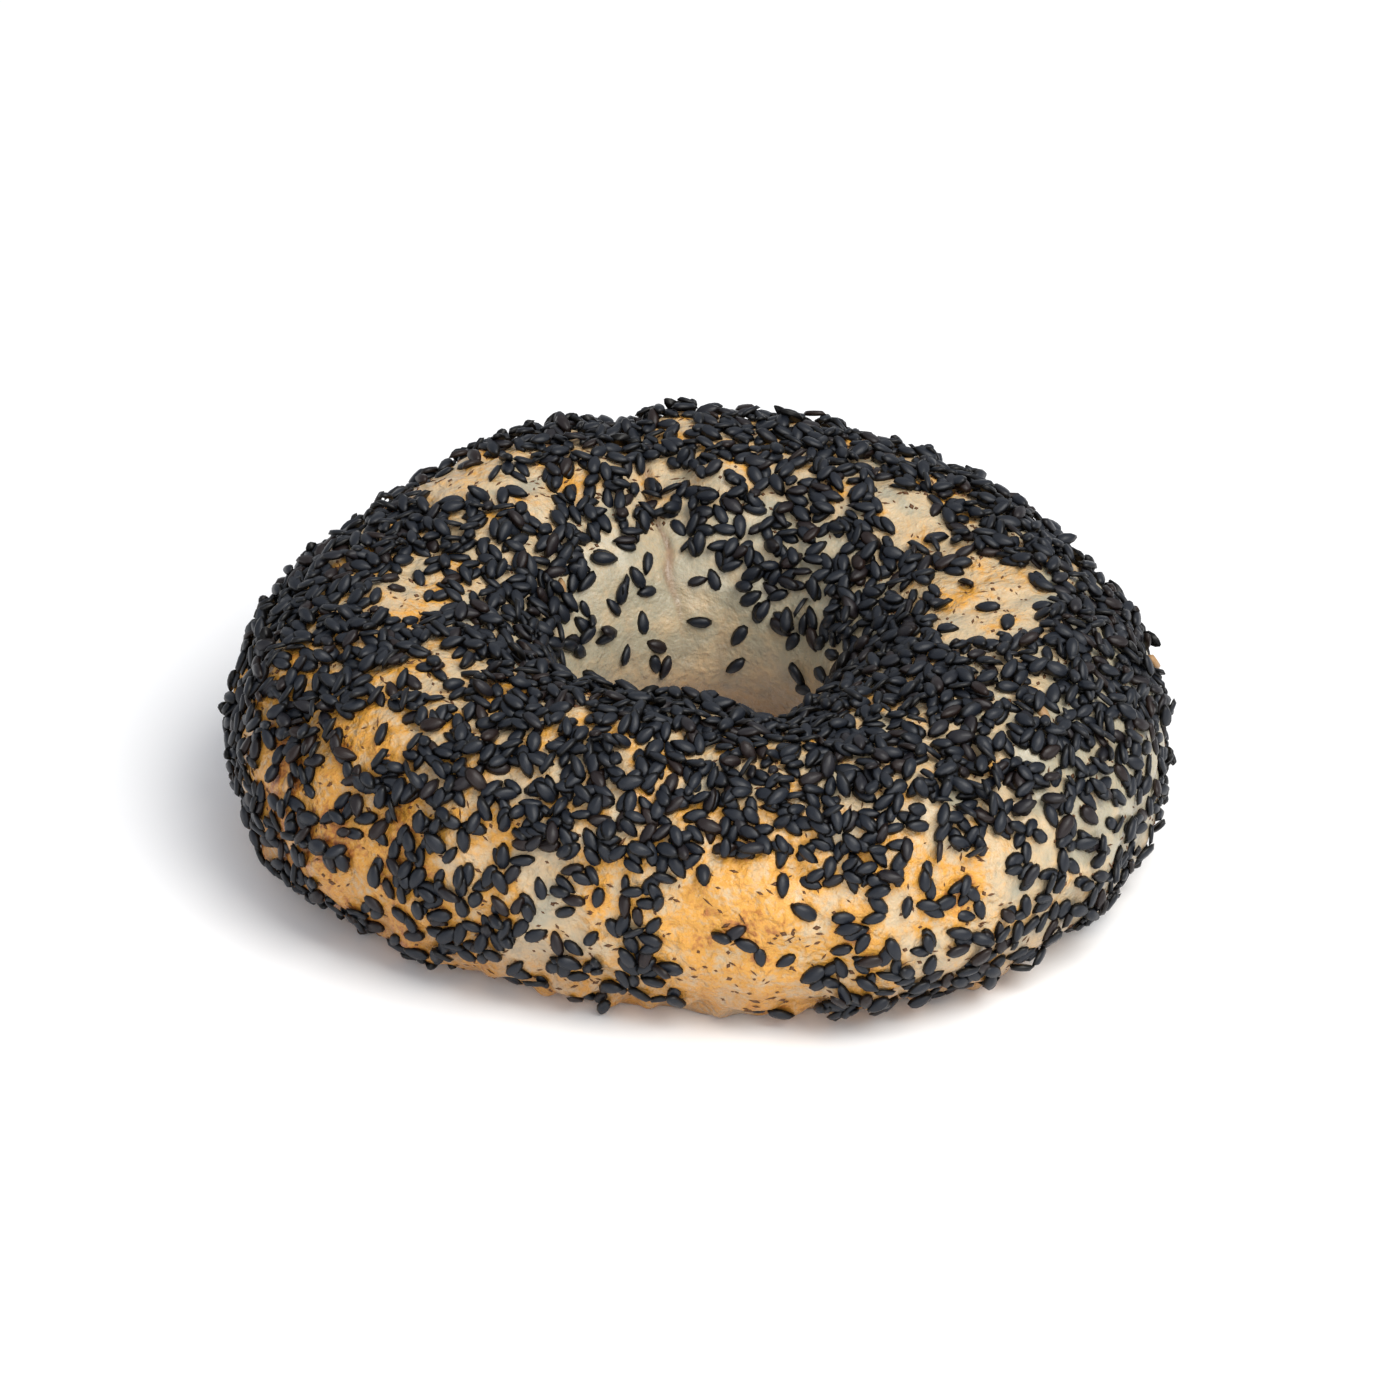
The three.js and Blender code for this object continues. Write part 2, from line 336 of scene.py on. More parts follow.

# %% [markdown]
# ## Where the crust is browned, and where shade is painted
#
# The oven browns the sides a little more than the top, which its seeds shade, and leaves the hole's
# wall nearly as pale as it came from the water. Single patches are far browner or paler than that. It
# is too large a pattern for a texture, and it has to follow the shape, so it is stored on the dough's
# vertices: "baked" from 0, pale, to 1, amber, and painted shade in the folds, low down by the board and
# on the left side, which on the underside turns into the board's real browning.

# %% How browned the crust is
# Each patch: where it is round the ring and up the section, its half-widths, and how much browner.
BROWNED = {
    "golden front": (-84, 10, 11 * MM, 9 * MM, 0.46),
    "left flank": (-149, -4, 19 * MM, 14 * MM, 0.6),
    "pale right flank": (-13, -1, 18 * MM, 15 * MM, -1.1),
    "top right": (-3, 94, 8.5 * MM, 7.5 * MM, 0.26),
    "top left": (142, 76, 8.5 * MM, 10.5 * MM, 0.1),
    "far left": (180, 96, 7.5 * MM, 5.5 * MM, 0.1),
    "near left": (-149, 77, 7.5 * MM, 11 * MM, 0.15),
    "pale front left": (-118, 5, 7.5 * MM, 6.5 * MM, -0.15),
    "yellow spot, front right": (-57, 17, 3.5 * MM, 3 * MM, 0.5),
    "back": (75, 20, 28 * MM, 13 * MM, 0.2),
}


def browning(around, up, points):
    """0.36 on the top, 0.44 on the sides and more along the foot, falling to 0 in the hole, plus the
    patches and noise. Down the hole's wall it grows browner again towards the board: partly toasting
    there, partly painted shade."""
    radius, section_radius = place(around, up)
    level = 0.44 - 0.08 * smoothstep(np.radians(20), np.radians(70), up)
    level = level + 0.2 * smoothstep(9 * MM, 2 * MM, points[..., 2])
    patches = sum(
        more * spot(around, up, radius, section_radius, *where) for *where, more in BROWNED.values()
    )
    mottle = 0.09 * noise(points, 11 * MM, 21) + 0.09 * noise(points, 5 * MM, 22)
    to_hole = smoothstep(np.radians(112), np.radians(136), up)
    # Browner down the hole: partly toasting near the board, partly painted shade.
    hole_shade_and_toast = (0.1 + 0.35 * smoothstep(20 * MM, 4 * MM, points[..., 2])) * to_hole
    return np.clip((level + patches + mottle) * (1 - to_hole) + hole_shade_and_toast, 0, 1.1)


# %% Painted shade on the crust
SHADED_SIDE = (-149, -4, 22 * MM, 16 * MM)  # the left side, where shade is painted, as a spot
INTO_HOLE = (2.0, 2.4)  # radians up the section, between which the outside becomes the hole


def painted_shade(around, up, points):
    """Painted shade, the sum, up to 1, of three parts: shade in the folds, from 0 at 0.2 mm deep to 1 at
    0.6 mm; shade low down, which rises to 1 low in the hole and to 0.7 low outside; and shade on the left
    side."""
    # Painted shade in the creases of the folds.
    fold_shade = np.clip(-creases(around, up, points) / (0.4 * MM) - 0.5, 0, 1)
    in_hole = smoothstep(*INTO_HOLE, up)
    # Painted shade low down, where the crust nears the board.
    shade_near_board = smoothstep(22 * MM, 3 * MM, points[..., 2]) * in_hole
    shade_near_board = shade_near_board + 0.7 * smoothstep(16 * MM, 2 * MM, points[..., 2]) * (1 - in_hole)
    # Painted shade on the left side.
    shaded_side = 0.4 * spot(around, up, *place(around, up), *SHADED_SIDE)
    return np.clip(fold_shade + shade_near_board + shaded_side, 0, 1)


# %% Both, stored on the dough's vertices
# The underside's middle is really browned by the board; the painted shade on the crust's edges fades into
# it.
FOOT_TOASTED = 0.4


def across_foot(on_crust, in_middle):
    """Carries values on over the foot: a straight line between those of its two edges, which fades
    into the middle's."""
    edges = on_crust[:, -1:] * (1 - foot_across) + on_crust[:, :1] * foot_across
    inland = smoothstep(0, 0.2, foot_across) * smoothstep(0, 0.2, 1 - foot_across)
    return np.concatenate([on_crust, edges + (in_middle - edges) * inland], axis=1)


foot_baked = 0.95 + 0.12 * noise(foot_grid, 9 * MM, 23)
baked = across_foot(browning(crust_around, crust_up, crust_grid), foot_baked)
# Painted shade on the crust, carried over the foot into the underside's browning.
painted_shade_and_toast = across_foot(painted_shade(crust_around, crust_up, crust_grid), FOOT_TOASTED)
paint(dough, "baked", baked)
paint(dough, "painted_shade_and_toast", painted_shade_and_toast)
print("browning: mean", baked.mean().round(2), "and darkened by", painted_shade_and_toast.mean().round(2))

# %% [markdown]
# ## Where the seeds lie
#
# The wet ring is pressed into a tray of seeds, so they crowd the top, thin out below the shoulder and
# hardly reach the hole's wall. Handling rubs a few places bare. This function gives the share of the
# crust that they hide.

# %% The seeds' cover
# Each bare patch: where it is round the ring and up the section, its half-widths, and how bare.
RUBBED = {
    "golden front": (-86, -6, 9 * MM, 12.5 * MM, 0.93),
    "top right": (-3, 95, 9 * MM, 6 * MM, 0.8),
    "top right, behind": (31, 104, 6.5 * MM, 3.5 * MM, 0.65),
    "top left": (139, 79, 6 * MM, 11 * MM, 0.7),
    "far left": (180, 97, 6.5 * MM, 3.5 * MM, 0.6),
    "near left": (-150, 90, 4.5 * MM, 5.5 * MM, 0.55),
    "near left, lower": (-146, 54, 5.5 * MM, 3.5 * MM, 0.5),
    "beside the seam": (101, 119, 3.5 * MM, 4.5 * MM, 0.5),
    "over the golden front": (-62, 36, 4.5 * MM, 3.5 * MM, 0.35),
}


def seed_cover(around, up, points):
    """0.96 over the shoulder line and 0.88 at the back, a clumpy 0.64 below it, which is more even on
    the right, and a few strays in the hole. The shoulder line lies 17 degrees up the section, and 36
    at the front. The rim of the hole lies at 150 degrees, 167 at the back right and 128 at the seam."""
    radius, section_radius = place(around, up)
    ragged = noise(points, 7 * MM, 31) * 4 + noise(points, 17 * MM, 32) * 4
    shoulder = 17 + 19 * np.exp(-((turn(np.radians(-80), around) / np.radians(50)) ** 2)) + ragged
    rim = 150 + 17 * np.exp(-((turn(np.radians(45), around) / np.radians(30)) ** 2)) + 0.6 * ragged
    rim = rim - 22 * np.exp(-((turn(np.radians(112), around) / np.radians(30)) ** 2))
    up_degrees = np.degrees(up)
    clumps = np.clip(0.64 + 0.22 * noise(points, 8 * MM, 33), 0.25, 0.93)
    even = spot(around, up, radius, section_radius, -25, 5, 20 * MM, 18 * MM)
    low = (clumps + (0.64 - clumps) * even) * smoothstep(-62, -25, up_degrees)
    at_back = np.exp(-((turn(np.radians(80), around) / np.radians(50)) ** 2))
    high = (0.96 - 0.08 * at_back) * smoothstep(2.4, 0.8, noise(points, 3.8 * MM, 34))
    over_shoulder = smoothstep(-7, 9, up_degrees - shoulder)
    cover = low * (1 - over_shoulder) + high * over_shoulder
    past_rim = smoothstep(-7, 12, up_degrees - rim)
    strays = 0.09 + 0.5 * spot(around, up, radius, section_radius, 150, 149, 8 * MM, 6 * MM)
    strays = strays + 0.2 * spot(around, up, radius, section_radius, 45, 152, 5 * MM, 5 * MM)
    cover = cover * (1 - past_rim) + strays * past_rim * smoothstep(205, 170, up_degrees)
    for *where, bareness in RUBBED.values():
        rubbed = smoothstep(0.35, 0.75, spot(around, up, radius, section_radius, *where))
        cover = cover * (1 - bareness * rubbed)
    return cover


print("seed cover: mean", seed_cover(crust_around, crust_up, crust_grid).mean().round(2))

# %% [markdown]
# ## Laying the seeds down
#
# Scattered seeds that ignore each other cut through one another, and it shows at once. A physics run
# of thousands of grains is slow. Here each seed is dropped in turn on a height map of the crust: it
# looks at how high the seeds under it stand, leans to lie on them like a roof tile, and then raises
# the map. A seed that would lie too high rolls off, which is to say it is skipped.

# %% Places for the seeds
LOWEST_SEED, HIGHEST_SEED = FOOT + 0.06, np.radians(212)  # where seeds are dropped, up the section
DRAW_AROUND, DRAW_UP = 720, 260  # cells from which their places are drawn

rng = np.random.default_rng(8)


def draw_places():
    """Random places on the crust. To hide a share of it, seeds dropped at random need a total area of
    -ln(1 - share) times the crust's."""
    columns = (np.arange(DRAW_AROUND) + 0.5) / DRAW_AROUND * 2 * np.pi
    rows = LOWEST_SEED + (np.arange(DRAW_UP) + 0.5) / DRAW_UP * (HIGHEST_SEED - LOWEST_SEED)
    around_cells, up_cells = np.meshgrid(columns, rows, indexing="ij")
    cells = ring(around_cells, up_cells) - MIDDLE
    along = np.linalg.norm(np.roll(cells, -1, axis=0) - cells, axis=-1)
    across = np.linalg.norm(np.gradient(cells, axis=1), axis=-1)
    weight = along * across * -np.log(1 - seed_cover(around_cells, up_cells, cells))
    count = int(weight.sum() / (SEED_LENGTH * SEED_WIDTH * np.pi / 4))
    chosen = rng.choice(weight.size, count, p=weight.ravel() / weight.sum())
    jitter = rng.uniform(-0.5, 0.5, (2, count))
    around = around_cells.ravel()[chosen] + jitter[0] * 2 * np.pi / DRAW_AROUND
    up = up_cells.ravel()[chosen] + jitter[1] * (HIGHEST_SEED - LOWEST_SEED) / DRAW_UP
    return around, up


# %% Directions on the crust


def unit(vectors):
    """Vectors divided by their own length."""
    return vectors / np.linalg.norm(vectors, axis=-1, keepdims=True)


def tangents(around, up):
    """At each place: the crust's point, its unit ways along the ring, across it and outward, and how
    many metres a radian is each way. They come from the crust's points a short step to each side."""
    step = 0.02  # radians
    point = crust(around, up)
    along = (crust(around + step, up) - crust(around - step, up)) / (2 * step)
    across = (crust(around, up + step) - crust(around, up - step)) / (2 * step)
    normal = unit(np.cross(along, across))
    along_unit = unit(along)
    per_radian = np.linalg.norm(along, axis=-1), np.linalg.norm(across, axis=-1)
    return point, along_unit, np.cross(normal, along_unit), normal, per_radian


# %% One seed after another
MOST_SEEDS = 5100  # the most seeds that are laid; more would be too many triangles for one mesh
MAP_AROUND, MAP_UP = 1600, 520  # cells of the height map, about 0.2 mm each on the shoulder
FEWEST_CELLS = 12  # a seed has to cover this many
PRESSED_IN = 0.16 * MM  # how deep a seed lies in the crust
POINTED = 0.3  # how sharply a seed narrows to its tip, 0 being an ellipse
STEEPEST = 0.6  # a seed leans no more than this, as a slope
ENDS_APART = 1.15  # from what lies under its tip to what lies under its base, in half lengths
SIDES_APART = 0.45  # from what lies under one side to what lies under the other, in widths
RESTS_ON = 78  # the percentile of what is under it on which it rests


def half_width(share):
    """A teardrop's half width, at a share of its half length from -1 to the tip at 1:
    sqrt(1 - share^2) x (1 - share)^(pointed / 2)."""
    return np.sqrt(np.maximum(1 - share**2, 0)) * np.maximum(1 - share, 0) ** (POINTED / 2)


def lay_seeds(around, up, size, heading, limit):
    """Drops the seeds in turn on a height map. A seed's slopes are what is under one end, or side,
    less what is under the other, over the way between them. It rests on a high percentile of what is
    under it less its lean, and the map becomes its upper face. Returns the seeds that stayed, each as
    its number, its height and its two slopes, and the map."""
    _, _, _, _, (metres_around, metres_up) = tangents(around, up)
    cell_around, cell_up = 2 * np.pi / MAP_AROUND, (np.pi - 2 * FOOT) / MAP_UP
    height_map = np.zeros((MAP_AROUND, MAP_UP))
    laid = []
    for i in range(len(around)):
        reach = SEED_LENGTH * size[i] / 2
        wide = int(np.ceil(reach / (metres_around[i] * cell_around)))
        tall = int(np.ceil(reach / (metres_up[i] * cell_up)))
        column = int(around[i] / cell_around)
        row = int((up[i] - FOOT) / cell_up)
        columns = np.arange(column - wide, column + wide + 1)
        rows = np.arange(max(row - tall, 0), min(row + tall + 1, MAP_UP))
        x = ((columns + 0.5) * cell_around - around[i])[:, None] * metres_around[i]
        y = ((rows + 0.5) * cell_up + FOOT - up[i])[None, :] * metres_up[i]
        ahead = (x * np.cos(heading[i]) + y * np.sin(heading[i])) / reach
        aside = (y * np.cos(heading[i]) - x * np.sin(heading[i])) / (SEED_WIDTH * size[i] / 2)
        inside = np.abs(aside) < half_width(ahead)
        patch = np.ix_(columns % MAP_AROUND, rows)
        under = height_map[patch][inside]
        if under.size < FEWEST_CELLS or under.mean() > limit[i]:
            continue
        ahead_in, aside_in = ahead[inside], aside[inside]
        pitch = under[ahead_in > 0.25].mean() - under[ahead_in < -0.25].mean()
        roll = under[aside_in > 0].mean() - under[aside_in < 0].mean()
        pitch, roll = pitch / (ENDS_APART * reach), roll / (SIDES_APART * SEED_WIDTH * size[i])
        pitch, roll = np.clip(pitch, -STEEPEST, STEEPEST), np.clip(roll, -STEEPEST, STEEPEST)
        lean = pitch * ahead_in * reach + roll * aside_in * SEED_WIDTH * size[i] / 2
        rest = np.percentile(under - lean, RESTS_ON)
        crown = SEED_THICKNESS * size[i] * (1 - 0.5 * ahead_in**2)
        raised = height_map[patch]
        raised[inside] = np.maximum(raised[inside], rest + lean + crown - PRESSED_IN)
        height_map[patch] = raised
        laid.append((i, rest, pitch, roll))
        if len(laid) == MOST_SEEDS:
            break
    return np.array(laid), height_map


# %% The drop
MOST_UNDER = (0.35 * MM, 1.2 * MM)  # a seed rolls off if more than a limit between these is under it
TOP_REACH = np.radians(60)  # beyond this from the crest, the sides are steep,
STEEP_SHARE = 0.6  # and the limit is less

try_around, try_up = draw_places()
tries = len(try_around)
try_size = rng.normal(1, 0.07, tries).clip(0.84, 1.16)
try_heading = rng.uniform(0, 2 * np.pi, tries)
on_top = np.abs(try_up - np.pi / 2) < TOP_REACH
try_limit = rng.uniform(*MOST_UNDER, tries) * np.where(on_top, 1, STEEP_SHARE)
laid, height_map = lay_seeds(try_around % (2 * np.pi), try_up, try_size, try_heading, try_limit)
stayed = laid[:, 0].astype(int)
print("seeds laid:", len(laid), "of", tries, "dropped, mean rest", (laid[:, 1].mean() / MM).round(2), "mm")

# %% [markdown]
# ## Shade round the seeds
#
# Beside the seeds the crust is painted browner: painted shade where a seed meets the crust, and the
# toasting from the seeds' oil in the oven. The height map already says which cells lie under a seed,
# so a blurred copy of it, read at the dough's vertices, gives this without any further work.

# %% Painted shade round the seeds, on the dough
BLUR_CELLS = 3


def blurred(cells):
    """The mean of each cell and its neighbours, a few cells each way; round the ring it closes."""
    for axis in (0, 1):
        cells = sum(np.roll(cells, step, axis) for step in range(-BLUR_CELLS, BLUR_CELLS + 1))
    return cells / (2 * BLUR_CELLS + 1) ** 2


# Painted shade round the seeds, together with the toasting from their oil.
seed_shade_and_toast_map = blurred((height_map > 0).astype(float))
map_column = (crust_around / (2 * np.pi) * MAP_AROUND).astype(int) % MAP_AROUND
map_row = ((crust_up - FOOT) / (np.pi - 2 * FOOT) * MAP_UP).astype(int).clip(0, MAP_UP - 1)
paint(dough, "seed_shade_and_toast", across_foot(seed_shade_and_toast_map[map_column, map_row], 0))
top_third = seed_shade_and_toast_map[:, MAP_UP // 3 : 2 * MAP_UP // 3]
print("crust under seeds:", (top_third > 0.5).mean().round(2), "of the top third")

# %% [markdown]
# ## The shape of a seed
#
# A sesame seed is a flat teardrop with a thin edge and a slightly domed face. With thousands of them,
# each can have only a few dozen faces: an edge of ten corners, closed flat below, a smaller ring of
# ten over it, and one point on top. The corners are turned by half a step, so that the two ends are
# short sides, a narrow one at the tip and a wider one at the round end. All the seeds are one mesh,
# worked out in one go from the edge's corners, each seed's own axes and its place.

# %% One seed
CORNERS = 10
FACE_SHARE = 0.72  # the face's ring, as a share of the outline
EDGE_LEVEL, FACE_LEVEL, TOP_LEVEL = -0.25, 0.38, 0.5  # over the seed's middle, in thicknesses


def seed_shape():
    """Corners of one seed of length, width and thickness 1, its tip towards +X, its triangles, and
    which of its corners are on the face. At each angle its edge lies cos(angle) ahead, stretched to
    the full length, and the half width of cos(angle) aside. Its face is the edge, shrunk and raised."""
    angle = (np.arange(CORNERS) + 0.5) / CORNERS * 2 * np.pi
    ahead = np.cos(angle)
    aside = np.sign(np.sin(angle)) * half_width(ahead)
    lengthwise = (ahead - ahead.min()) / np.ptp(ahead) - 0.5
    edge = np.stack([lengthwise, aside / 2, 0 * angle + EDGE_LEVEL], axis=1)
    face = edge * (FACE_SHARE, FACE_SHARE, 0) + (-0.03, 0, FACE_LEVEL)
    top = np.array([[-0.05, 0, TOP_LEVEL]])
    here, after = np.arange(CORNERS), (np.arange(CORNERS) + 1) % CORNERS
    fan = np.arange(1, CORNERS - 1)
    triangles = np.concatenate([
        np.stack([here, after, after + CORNERS], axis=1),
        np.stack([here, after + CORNERS, here + CORNERS], axis=1),
        np.stack([here + CORNERS, after + CORNERS, 0 * here + 2 * CORNERS], axis=1),
        np.stack([0 * fan, fan + 1, fan], axis=1),
    ])
    return np.concatenate([edge, face, top]), triangles, np.repeat([0.0, 1.0], [CORNERS, CORNERS + 1])


# %% Copies of a shape


def scatter(shape, triangles, centre, axes, sizes):
    """Copies one shape to every place: centre + x ahead + y aside + z outward, each times its size."""
    points = centre[:, None] + np.einsum("pc,sc,scd->spd", shape, sizes, axes)
    shift = np.arange(len(centre))[:, None, None] * len(shape)
    return points.reshape(-1, 3), (triangles[None] + shift).reshape(-1, 3)


def turned(ahead, aside, outward_way, pitch, roll):
    """The three axes after a slope ahead and a slope aside: each way plus its slope x the outward
    way, then made square to each other by cross products."""
    ahead = unit(ahead + pitch[:, None] * outward_way)
    aside = unit(aside + roll[:, None] * outward_way)
    up_way = unit(np.cross(ahead, aside))
    return np.stack([ahead, np.cross(up_way, ahead), up_way], axis=1)


# %% The seeds' mesh
STANDING_SHARE = 0.18  # seeds that stick up instead of lying down, where
STANDING_REACH = np.radians(75)  # they are this close to the crest
STANDING_TILT, STANDING_TIP = 1.5, 0.6  # their most slope, aside and ahead
STANDING_RISE = 0.3  # how far a fully tilted one is lifted, in widths
LYING_TILT, LYING_TIP = 0.2, 0.09  # the usual slope of the others
FOOT_SEEDS = 90  # seeds baked into the underside
FLUSH = 0.04 * MM  # how far their faces stay off the board

# The seeds that were dropped.
laid_total = len(stayed)
point, along, across, normal, _ = tangents(try_around[stayed], try_up[stayed])
cosine, sine = np.cos(try_heading[stayed])[:, None], np.sin(try_heading[stayed])[:, None]
ahead, aside = along * cosine + across * sine, across * cosine - along * sine
near_crest = np.abs(try_up[stayed] - np.pi / 2) < STANDING_REACH
standing = (rng.random(laid_total) < STANDING_SHARE) & near_crest
tilt = np.where(
    standing, rng.uniform(-STANDING_TILT, STANDING_TILT, laid_total), rng.normal(0, LYING_TILT, laid_total)
)
tip = np.where(
    standing, rng.uniform(-STANDING_TIP, STANDING_TIP, laid_total), rng.normal(0, LYING_TIP, laid_total)
)
axes = turned(ahead, aside, normal, laid[:, 2] + tip, laid[:, 3] + tilt)
size = try_size[stayed][:, None] * (SEED_LENGTH, SEED_WIDTH, SEED_THICKNESS)
size = size * rng.normal(1, (0.03, 0.06, 0.1), (laid_total, 3))
tilt_rise = np.abs(np.sin(np.arctan(tilt))) * SEED_WIDTH * STANDING_RISE * standing
lift = laid[:, 1] + size[:, 2] / 2 - PRESSED_IN + tilt_rise
centre = point + lift[:, None] * normal

# The seeds that stuck to the board's side, face down and flush.
foot_centre = foot_points(rng.uniform(0, 2 * np.pi, FOOT_SEEDS), rng.uniform(0.05, 0.95, FOOT_SEEDS))
foot_centre[:, 2] = FLUSH + SEED_THICKNESS / 2
foot_heading = rng.uniform(0, 2 * np.pi, FOOT_SEEDS)
foot_ahead = np.stack([np.cos(foot_heading), np.sin(foot_heading), 0 * foot_heading], axis=1)
foot_down = np.tile([0.0, 0.0, -1.0], (FOOT_SEEDS, 1))
foot_axes = np.stack([foot_ahead, np.cross(foot_down, foot_ahead), foot_down], axis=1)
foot_size = np.tile([SEED_LENGTH, SEED_WIDTH, SEED_THICKNESS], (FOOT_SEEDS, 1))

seed_points, seed_triangles, on_face = seed_shape()
all_points, all_triangles = scatter(
    seed_points, seed_triangles, np.concatenate([centre, foot_centre]),
    np.concatenate([axes, foot_axes]), np.concatenate([size, foot_size]),
)
seed_total = laid_total + FOOT_SEEDS
all_points[:, 2] = np.maximum(all_points[:, 2], FLUSH)
seeds = add_mesh("black_sesame_seeds", all_points, all_triangles)
paint(seeds, "on_face", np.tile(on_face, seed_total))
paint(seeds, "tone", np.repeat(rng.random(seed_total), len(seed_points)))
print("seeds:", seed_total, "with", len(all_triangles), "triangles,", standing.sum(), "of them standing")

# %% [markdown]
# ## Chips and husks
#
# Between the seeds lie splinters of broken ones, seen as short brown dashes that mostly lie along the
# ring, the way it was rolled. Each is a narrow diamond with a point above and one below, eight
# triangles in all, half sunk in the crust.

# %% The chips' mesh
CHIP_COUNT = 3000
CHIP_SIZES = np.array([0.95, 0.42, 0.3]) * MM
CHIP_LOWEST, CHIP_HIGHEST = np.radians(-45), np.radians(135)  # up the section
CHIP_TURN = 0.7  # how far they usually turn away from the ring's way, in radians


def chip_shape():
    """A diamond of length, width and thickness 1: six corners and eight triangles."""
    points = np.array([[0.5, 0, 0], [0, 0.5, 0], [-0.5, 0, 0], [0, -0.5, 0], [0, 0, 0.5], [0, 0, -0.5]])
    side = np.arange(4)
    upper = np.stack([side, (side + 1) % 4, 0 * side + 4], axis=1)
    lower = np.stack([(side + 1) % 4, side, 0 * side + 5], axis=1)
    return points, np.concatenate([upper, lower])


chip_around = rng.uniform(0, 2 * np.pi, CHIP_COUNT)
chip_up = rng.uniform(CHIP_LOWEST, CHIP_HIGHEST, CHIP_COUNT)
chip_point, chip_along, chip_across, chip_normal, _ = tangents(chip_around, chip_up)
chip_heading = rng.normal(0, CHIP_TURN, CHIP_COUNT)[:, None]
chip_ahead = chip_along * np.cos(chip_heading) + chip_across * np.sin(chip_heading)
chip_axes = np.stack([chip_ahead, np.cross(chip_normal, chip_ahead), chip_normal], axis=1)
chip_size = CHIP_SIZES * rng.lognormal(0, 0.3, (CHIP_COUNT, 3)).clip(0.5, 1.9)
chip_points, chip_triangles = scatter(*chip_shape(), chip_point, chip_axes, chip_size)
chips = add_mesh("seed_chips", chip_points, chip_triangles)
print("chips:", CHIP_COUNT, "with", len(chip_triangles), "triangles")

# %% [markdown]
# ## Materials
#
# Colours are written as the sRGB hex values that a colour picker shows, and one function turns them
# to the linear numbers that shaders work in. One small function adds a node with its settings and
# links, so a material reads from top to bottom like a recipe.

# %% Colours and nodes


def linear(hex_colour):
    """sRGB hex to linear RGBA: (c / 12.92) in the darks, ((c + 0.055) / 1.055)^2.4 above them."""
    srgb = np.array([int(hex_colour[i : i + 2], 16) for i in (1, 3, 5)]) / 255
    colour = np.where(srgb <= 0.04045, srgb / 12.92, ((srgb + 0.055) / 1.055) ** 2.4)
    return (*colour.tolist(), 1.0)


def add_node(tree, kind, inputs=None, **settings):
    """Adds a shader node: settings are its own properties, and inputs gives each socket, by name or
    number, a value or another node's output."""
    added = tree.nodes.new("ShaderNode" + kind)
    for name, value in settings.items():
        setattr(added, name, value)
    for socket, value in (inputs or {}).items():
        if isinstance(value, bpy.types.NodeSocket):
            tree.links.new(value, added.inputs[socket])
        else:
            added.inputs[socket].default_value = value
    return added


def new_material(name):
    """An empty node material, and its node tree."""
    material = bpy.data.materials.new(name)
    material.use_nodes = True
    material.node_tree.nodes.clear()
    return material, material.node_tree


# %% [markdown]
# ## The crust's finish
#
# Boiled and baked wheat crust: a thin gelatinised skin, smooth and a little glossy, cream where it
# stayed pale and amber where it browned, with fine darker freckles and pores. Light goes a short way
# into it, which softens the pale hole. Browning and painted shade come from the vertices, and the
# freckles and pores from noise at their real size, on Object coordinates so that they stay put.

# %% Material: baked crust
CREAM, TOASTED, GOLDEN, AMBER, BROWN = "#A79E87", "#C6AD88", "#D69A3E", "#AD6C2C", "#6E3A18"
# How browned the crust is where each darker colour sets in, and where it is all there.
RAMP = ((0.04, 0.34, TOASTED), (0.4, 0.82, GOLDEN), (0.95, 1.3, AMBER), (1.4, 1.7, BROWN))
FRECKLE_SIZE = 0.9 * MM
MOTTLE_SIZE = 4 * MM
PORE_SIZE = 0.7 * MM
SKIN_SIZE = 1.8 * MM

crust_material, tree = new_material("baked_wheat_crust")
where = add_node(tree, "TexCoord").outputs["Object"]
baked_here = add_node(tree, "Attribute", attribute_name="baked").outputs["Fac"]
shade_and_toast_here = add_node(tree, "Attribute", attribute_name="painted_shade_and_toast").outputs["Fac"]
seed_shade_and_toast_here = add_node(tree, "Attribute", attribute_name="seed_shade_and_toast").outputs["Fac"]

# %% Mottling, stains and freckles
mottle = add_node(
    tree, "TexNoise", {"Vector": where, "Scale": 1 / MOTTLE_SIZE, "Detail": 3.0, "Roughness": 0.6}
)
freckle = add_node(
    tree, "TexNoise", {"Vector": where, "Scale": 1 / FRECKLE_SIZE, "Detail": 2.0, "Roughness": 0.6}
)
mottle_part = add_node(
    tree, "MapRange",
    {"Value": mottle.outputs["Fac"], "From Min": 0.3, "From Max": 0.7, "To Min": -0.2, "To Max": 0.2},
)
freckle_part = add_node(
    tree, "MapRange",
    {"Value": freckle.outputs["Fac"], "From Min": 0.3, "From Max": 0.7, "To Min": -0.4, "To Max": 0.28},
)
# Beside the seeds, painted shade and the toasting from their oil push the crust browner.
seed_shade_and_toast_part = add_node(
    tree, "MapRange", {"Value": seed_shade_and_toast_here, "From Min": 0.1, "From Max": 0.6, "To Max": 0.3}
)
mottled = add_node(tree, "Math", {0: baked_here, 1: mottle_part.outputs["Result"]}, operation="ADD")
seed_shade_and_toast = add_node(
    tree, "Math", {0: seed_shade_and_toast_part.outputs["Result"], 1: baked_here, 2: mottled.outputs[0]},
    operation="MULTIPLY_ADD",
)
# The pale places have few freckles, so they count only as far as the crust is browned.
freckled = add_node(
    tree, "Math", {0: freckle_part.outputs["Result"], 1: baked_here, 2: seed_shade_and_toast.outputs[0]},
    operation="MULTIPLY_ADD",
)
browned = freckled.outputs[0]

# %% The crust's colour
colour = linear(CREAM)
for start, end, tone in RAMP:
    share = add_node(tree, "MapRange", {"Value": browned, "From Min": start, "From Max": end})
    inputs = {"Factor": share.outputs["Result"], "A": colour, "B": linear(tone)}
    colour = add_node(tree, "Mix", inputs, data_type="RGBA").outputs["Result"]
